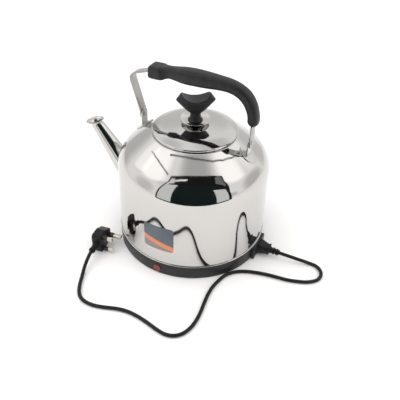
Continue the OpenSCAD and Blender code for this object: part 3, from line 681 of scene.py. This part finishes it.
def saucer():
    """The dished washer under the knob, its rim rolled over."""
    under = [(2.6, -1), (9, -1), (12.5, -0.75), (16, -0.3), (19.5, 0.7), (22.9, 2)]
    rolled = [(23, 2.25), (22.95, 2.6), (22.7, 2.78), (22.3, 2.7)]
    dish = [(20.5, 1.85), (18, 0.95), (16, 0.4), (14, 0.05), (12, 0), (2.6, 0)]
    piece = lathe("saucer", [(r, FOOT_Z + z) for r, z in under + rolled + dish], SAUCER_STEPS)
    take(piece, "lid", "polished_steel", MATERIALS["polished"], "knob_saucer")


# ---- Spout: a cone on a slanted axis, opening into a trumpet lip whose mouth is nearly level.

SPOUT_AT, LEAN, SPOUT_LEN = Vector((-120, 0, 75)), math.radians(37.6), 110
ROOT_R, TIP_R = 19.8, 9.4
LIP_R, LIP_H, LIP_TILT = 14.84, 6, math.radians(11)
SPOUT_SIDES, WELD_SIDES = 160, 12
CONE_STEPS, LIP_STEPS = 16, 14
SEARCH_FROM, SEARCH_TO, SEARCH_STEPS = -39, 60, 40
ACROSS = Vector((0, 1, 0))
SPOUT_AXIS = Vector((-math.sin(LEAN), 0, math.cos(LEAN)))
SPOUT_UP = Vector((math.cos(LEAN), 0, math.sin(LEAN)))
MOUTH = SPOUT_AT + SPOUT_AXIS * SPOUT_LEN
LIP_AXIS = Vector((-math.sin(LIP_TILT), 0, math.cos(LIP_TILT)))
LIP_UP = Vector((math.cos(LIP_TILT), 0, math.sin(LIP_TILT)))


def cone_point(angle, along, inset):
    """A point on the cone, or on its inside when inset, at an angle and a distance along it."""
    radius = ROOT_R - (ROOT_R - TIP_R) / SPOUT_LEN * along - inset
    outward = math.cos(angle) * SPOUT_UP + math.sin(angle) * ACROSS
    return SPOUT_AT + SPOUT_AXIS * along + radius * outward


def wall_crossing(angle, inset, reach):
    """How far along the spout a line on its cone leaves the vessel's wall."""
    low, high = SEARCH_FROM, SEARCH_TO
    for _ in range(SEARCH_STEPS):
        mid = (low + high) / 2
        if cone_point(angle, mid, inset).xy.length < reach:
            low = mid
        else:
            high = mid
    return low


def spout_line(angle, inset):
    """One line from the wall up the cone and out along the lip."""
    start = wall_crossing(angle, inset, BODY_R + (0.05 if inset == 0 else -SHEET))
    level = (MOUTH - cone_point(angle, SPOUT_LEN, inset)).dot(LIP_AXIS)
    flare = SPOUT_LEN + (level - LIP_H - 1) / SPOUT_AXIS.dot(LIP_AXIS)
    line = [cone_point(angle, start + (flare - start) * k / CONE_STEPS, inset)
            for k in range(CONE_STEPS + 1)]
    outward = math.cos(angle) * LIP_UP + math.sin(angle) * ACROSS
    rim = MOUTH + (LIP_R - inset * 0.4) * outward - LIP_AXIS * (0.75 - inset * 0.7)
    climb = (line[-1] - line[-2]).normalized()
    throat, ease_in, ease_out = line[-1], line[-1] + climb * 4.5, rim - outward * 3
    for k in range(1, LIP_STEPS + 1):
        t = k / LIP_STEPS
        line.append((1 - t) ** 3 * throat + 3 * (1 - t) ** 2 * t * ease_in
                    + 3 * (1 - t) * t * t * ease_out + t ** 3 * rim)
    return line


def spout():
    """The spout's sheet, outside and inside, with a rounded edge at the lip."""
    loops = []
    for angle in round_angles(SPOUT_SIDES):
        outside, inside = spout_line(angle, 0), spout_line(angle, SHEET)
        edge = (outside[-1] + inside[-1]) / 2 + (outside[-1] - outside[-2]).normalized() * 0.3
        loops.append(outside + [edge] + inside[::-1])
    piece = skin("spout_skin", loops, 50)
    take(piece, "kettle", "polished_steel", MATERIALS["polished_spout"], "spout")


def weld():
    """The low fused bead where the spout meets the wall."""
    centres = [cone_point(angle, wall_crossing(angle, 0, BODY_R), 0)
               for angle in round_angles(SPOUT_SIDES)]
    loops = []
    for k, centre in enumerate(centres):
        along = (centres[(k + 1) % SPOUT_SIDES] - centres[k - 1]).normalized()
        out = Vector((centre.x, centre.y, 0)).normalized()
        side = along.cross(out)
        swell = 0.75 + 0.1 * math.sin(k * 2.4)
        loops.append([centre + swell * (math.cos(a) * side + 0.7 * math.sin(a) * out)
                      for a in round_angles(WELD_SIDES)])
    take(skin("spout_weld", loops, 80), "kettle", "polished_steel", MATERIALS["weld"])


vessel()
trim()
lid()
saucer()
spout()
weld()


# ---- Handle and label.

# Along the grip: x and z of its middle, its height and width, and how square its section is.
GRIP_STATIONS = [
    (-74, 279, 17, 23, 6), (-71, 279, 19.5, 25, 6), (-56, 279.5, 19.5, 25, 6),
    (-51, 280.5, 18.5, 22, 4), (-43, 282, 17.5, 18.5, 3), (-33, 282.5, 19, 20, 3),
    (-18, 283, 22.5, 24, 3), (0, 284, 23, 25, 3), (18, 284.5, 21.5, 24, 3), (36, 285, 19, 22, 3),
    (52, 284.5, 17.5, 20.5, 3), (66, 281, 17, 20, 3), (78, 273.5, 17, 20, 3),
    (86, 262.5, 16.5, 19.5, 3), (90.5, 250, 16, 19, 3), (91.7, 240, 16, 19, 3),
    (91.7, 236, 14, 17, 2.5), (91.7, 233, 9, 12, 2),
]
GRIP_STEPS, GRIP_SIDES = 8, 72
GRIP_HALF = 0.497  # a hair under half, so that the grip stays inside the CAD one


def grip():
    """The moulded grip, from its square front end to its round rear end."""
    fine = []
    for i in range(len(GRIP_STATIONS) - 1):
        near = neighbours(GRIP_STATIONS, i)
        fine += [[mixed(*values, k / GRIP_STEPS) for values in zip(*near)]
                 for k in range(GRIP_STEPS)]
    fine.append(list(GRIP_STATIONS[-1]))
    rings = []
    for i, (x, z, high, wide, square) in enumerate(fine):
        before, after = fine[max(i - 1, 0)], fine[min(i + 1, len(fine) - 1)]
        along = Vector((after[0] - before[0], after[1] - before[1])).normalized()
        ring = []
        for a in round_angles(GRIP_SIDES):
            c, d = math.cos(a), math.sin(a)
            up = math.copysign(abs(c) ** (2 / square), c) * high * GRIP_HALF
            out = math.copysign(abs(d) ** (2 / square), d) * wide * GRIP_HALF
            ring.append((x - up * along.y, out, z + up * along.x))
        rings.append(ring)
    take(loft("grip_moulding", rings), "handle", "phenolic_black", MATERIALS["phenolic"], "grip")


# The rivets' heads and shank, and the height of their axis.
HEAD_IN, HEAD_OUT, HEAD_R, HEAD_RISE, HEAD_STEPS = 88.3, 92.7, 4.5, 1.6, 8
SHANK_R, RIVET_Z = 2.5, 203


def rivets():
    """Domed heads inside and outside each ear, on a plain shank."""
    def dome(start, way):
        angles = [math.pi / 2 * k / HEAD_STEPS for k in range(HEAD_STEPS + 1)]
        return [(start + way * HEAD_RISE * math.sin(a), HEAD_R * math.cos(a)) for a in angles]

    shank = [(HEAD_IN, SHANK_R), (HEAD_OUT, SHANK_R)]
    profile = dome(HEAD_IN, -1)[::-1] + shank + dome(HEAD_OUT, 1)
    outline = [(max(r, 0), x) for x, r in profile[1:-1]]
    outline += [(0, HEAD_OUT + HEAD_RISE), (0, HEAD_IN - HEAD_RISE)]
    pieces = []
    for way in (-1, 1):
        piece = lathe("rivet", outline, RIVET_STEPS)
        piece.data.transform(Matrix.Translation((0, 0, RIVET_Z * MM))
                             @ Matrix.Rotation(way * math.pi / 2, 4, "Y"))
        pieces.append(piece)
    heads = joined("rivet_heads", *pieces)
    take(heads, "handle", "zinc_steel", MATERIALS["plated"], "handle_rivets")


def label_plate():
    """The plate on the wall: curved with it, with rounded corners."""
    half, low, high, corner, middle = math.radians(12), 50, 96, 4.5, math.radians(-89)
    back, front, steps = BODY_R + 0.02, BODY_R + 0.24, 96
    rings, reach = [], BODY_R * half
    for k in range(steps + 1):
        across = reach * math.sin(math.pi * (k / steps - 0.5))
        into = max(0, abs(across) - (reach - corner))
        cut = corner - math.sqrt(max(0, corner ** 2 - into ** 2)) + (0.02 if into else 0)
        cut = min(cut, corner)
        angle = middle + across / BODY_R
        rings.append([(r * math.cos(angle), r * math.sin(angle), z) for r, z in
                      ((back, low + cut), (front, low + cut), (front, high - cut),
                       (back, high - cut))])
    take(loft("label_plate", rings), "kettle", "label_slate", MATERIALS["label"], "label")


grip()
rivets()
label_plate()
mould_pieces(("knob", 0.8, 9, "lid", "phenolic_black", "phenolic"),
             ("connector_body", 0.6, 4, "connector", "cord_black", "plug"))
ease_pieces(("handle_strap", 0.45, "handle", "satin_steel", "strap"),
            ("front_ear", 0.35, "kettle", "polished_steel", "satin"),
            ("rear_ear", 0.35, "kettle", "polished_steel", "satin"),
            ("base_skirt", 0.5, "kettle", "base_black", "base"),
            ("inlet_housing", 0.5, "kettle", "base_black", "base"))


# ---- Stage and light.

def plain_material(name, colour, rough):
    f = Finish(name)
    f.feed("Base Color", f.blend(f.noise(3, 2), colour, tuple(c * 0.99 for c in colour)))
    f.shader.inputs["Roughness"].default_value = rough
    return f.material


FLOOR_HALF, FLOOR_GAP = 30, 0.0003  # metres; the gap is what the floor lies below the feet


def floor():
    bottom, h = CAD_BOX[0].z - FLOOR_GAP, FLOOR_HALF
    mesh = bpy.data.meshes.new("floor")
    mesh.from_pydata([(x, y, bottom) for x, y in ((-h, -h), (h, -h), (h, h), (-h, h))], [],
                     [(0, 1, 2, 3)])
    mesh.materials.append(plain_material("floor", (0.93, 0.925, 0.918), 0.7))
    piece = bpy.data.objects.new("floor", mesh)
    SCENE.collection.objects.link(piece)


# Directions are an azimuth and an elevation in degrees, seen from the kettle. Azimuth 0 is
# towards -Y and 90 towards +X.
def direction(azimuth, elevation):
    a, e = math.radians(azimuth), math.radians(elevation)
    return (math.sin(a) * math.cos(e), -math.cos(a) * math.cos(e), math.sin(e))


STUDIO_LIGHT = 1.12
# Soft patches of the tent: azimuth, elevation, inner and outer angle, and how much is added to the
# studio's light.
PATCHES = [
    (35, 71, 6, 24, -0.52), (112, 50, 7, 20, 0.5), (-62, 49, 8, 20, 0.5), (-85, 37, 5, 14, 0.35),
    (-112, 2, 8, 30, -0.45), (122, 8, 8, 26, -0.42), (-48, 12, 7, 20, -0.30),
    (82, 4, 3, 10, -0.35), (168, 6, 8, 24, -0.32), (-150, 20, 8, 30, -0.30),
    (146, 36, 4, 14, 0.2), (-100, 58, 6, 18, -0.25), (160, 62, 8, 24, -0.25),
    (-20, 44, 4, 16, -0.2),
]


def surround():
    """An even pale studio, with soft lighter and darker patches of its tent."""
    world = bpy.data.worlds.new("studio")
    SCENE.world = world
    world.use_nodes = True
    nodes, links = world.node_tree.nodes, world.node_tree.links
    sight = nodes.new("ShaderNodeTexCoord").outputs["Generated"]
    total = None
    for azimuth, elevation, inner, outer, change in PATCHES:
        dot = nodes.new("ShaderNodeVectorMath")
        dot.operation = "DOT_PRODUCT"
        dot.inputs[1].default_value = direction(azimuth, elevation)
        links.new(sight, dot.inputs[0])
        soft = nodes.new("ShaderNodeMapRange")
        soft.interpolation_type = "SMOOTHSTEP"
        ends = (math.cos(math.radians(outer)), math.cos(math.radians(inner)), 0, change)
        for socket, value in zip(list(soft.inputs)[1:5], ends):
            socket.default_value = value
        links.new(dot.outputs["Value"], soft.inputs[0])
        add = nodes.new("ShaderNodeMath")
        add.operation = "ADD"
        add.inputs[0].default_value = STUDIO_LIGHT
        if total:
            links.new(total, add.inputs[0])
        links.new(soft.outputs[0], add.inputs[1])
        total = add.outputs[0]
    nodes["Background"].inputs["Color"].default_value = (1, 0.992, 0.984, 1)
    links.new(total, nodes["Background"].inputs["Strength"])


def glow(name, colour, power):
    material = bpy.data.materials.new(name)
    material.use_nodes = True
    nodes = material.node_tree.nodes
    nodes.clear()
    light, out = nodes.new("ShaderNodeEmission"), nodes.new("ShaderNodeOutputMaterial")
    light.inputs["Color"].default_value = (*colour, 1)
    light.inputs["Strength"].default_value = power
    material.node_tree.links.new(light.outputs[0], out.inputs[0])
    return material


def reflector(name, corners, material):
    """A studio card that only polished surfaces see."""
    mesh = bpy.data.meshes.new(name)
    mesh.from_pydata(corners, [], [tuple(range(len(corners)))])
    mesh.materials.append(material)
    piece = bpy.data.objects.new(name, mesh)
    SCENE.collection.objects.link(piece)
    piece.visible_camera = piece.visible_diffuse = piece.visible_shadow = False
    piece.visible_transmission = piece.visible_volume_scatter = False


def front_opening():
    """The dark room seen through the tent's opening, with a pale stand to either side."""
    facing = math.radians(27)
    out = Vector((math.sin(facing), -math.cos(facing), 0))
    side = Vector((math.cos(facing), math.sin(facing), 0))
    dark = glow("dark_room", (0.012, 0.018, 0.018), 1)
    pale = glow("pale_stand", (0.92, 0.93, 0.92), 0.9)

    def card(name, distance, left, right, low, high, material):
        a, b = out * distance + side * left, out * distance + side * right
        reflector(name, [(*a.xy, low), (*b.xy, low), (*b.xy, high), (*a.xy, high)], material)

    card("dark_card", 0.62, -0.74, 0.74, 0, 1.00, dark)
    card("left_stand", 0.60, -0.66, -0.33, 0.05, 1.00, pale)
    card("right_stand", 0.60, 0.33, 0.62, 0.05, 0.62, pale)


# Cards and seams of the tent overhead: name, distance in metres, tone and outline of directions.
TENT = [
    ("opening_top", 1.30, "room", [
        (-25.8, 57.4), (-16.2, 60.2), (-5.3, 62.5), (6.9, 64.2), (20.1, 65.1), (33.7, 65.1),
        (47.1, 64.2), (59.5, 62.6), (70.7, 60.3), (80.5, 57.4), (89.2, 54.1), (85.9, 44.0),
        (77.9, 18.0), (74.0, 3.9), (66.9, 9.2), (53.1, 17.0), (38.9, 21.0), (24.4, 21.4),
        (10.2, 18.0), (-3.5, 11.1), (-17.3, 0.6), (-19.2, 20.2), (-24.0, 45.2),
    ]),
    ("left_stand_top", 1.25, "stand", [
        (-22.3, 56.8), (-15.0, 58.8), (-10.5, 50.8), (-5.2, 31.3), (-4.2, 10.5), (-16.0, 3.3),
        (-19.8, 35.3), (-22.7, 50.5),
    ]),
    ("right_haze", 1.25, "haze", [
        (75.6, 58.0), (86.1, 54.4), (82.0, 43.1), (76.5, 30.7), (70.0, 36.1), (63.0, 40.6),
        (72.1, 55.8),
    ]),
    ("tube", 1.20, "white", [
        (-14.3, 57.8), (22.5, 62.5), (22.7, 61.6), (-13.0, 57.2),
    ]),
    ("left_seam", 2.8, "dark", [
        (-86.6, 37.0), (-85.4, 38.5), (-73.2, 45.9), (-60.5, 51.5), (-47.1, 55.4), (-33.5, 57.8),
        (-35.7, 56.5), (-49.0, 54.1), (-62.0, 50.1), (-74.5, 44.5),
    ]),
    ("top_seam", 2.8, "dark", [
        (-60.2, 59.2), (-46.9, 66.0), (-28.0, 71.9), (-2.2, 75.6), (30.5, 76.4), (59.8, 74.1),
        (80.3, 69.9), (94.3, 64.7), (113.4, 55.1), (128.4, 44.9), (138.6, 37.1), (148.3, 28.2),
        (146.3, 29.4), (136.4, 38.0), (126.1, 45.5), (111.0, 55.3), (91.4, 64.4), (77.3, 69.3),
        (57.4, 73.2), (30.4, 75.2), (0.5, 74.6), (-24.4, 71.4), (-43.4, 66.0), (-57.0, 59.5),
    ]),
]
TENT_TONES = {"room": 0.014, "stand": 0.9, "haze": 0.22, "white": 1.3, "dark": 0.16}
TENT_Z = 0.15


def tent():
    glows = {tone: glow("tent_" + tone, (1, 1, 1), power) for tone, power in TENT_TONES.items()}
    for name, distance, tone, outline in TENT:
        sight = [direction(*point) for point in outline]
        corners = [(distance * x, distance * y, TENT_Z + distance * z) for x, y, z in sight]
        reflector(name, corners, glows[tone])


# Name, place and size in metres, and watts. They point at the kettle's lower half.
LAMPS = [("key", (-0.9, -0.7, 1.9), 1.6, 9), ("fill", (1.3, -0.2, 1.5), 1.6, 5),
         ("over", (0.0, -0.4, 2.6), 3.0, 11)]
LAMPS_AIM = Vector((0, 0, 0.1))


def lamps():
    for name, place, size, power in LAMPS:
        data = bpy.data.lights.new(name, "AREA")
        data.size, data.energy = size, power
        lamp = bpy.data.objects.new(name, data)
        lamp.location = place
        lamp.rotation_mode = "QUATERNION"
        lamp.rotation_quaternion = (LAMPS_AIM - Vector(place)).to_track_quat("-Z", "Y")
        lamp.visible_glossy = False
        SCENE.collection.objects.link(lamp)


SCENE.view_settings.view_transform = "Standard"
surround()
floor()
front_opening()
tent()
lamps()
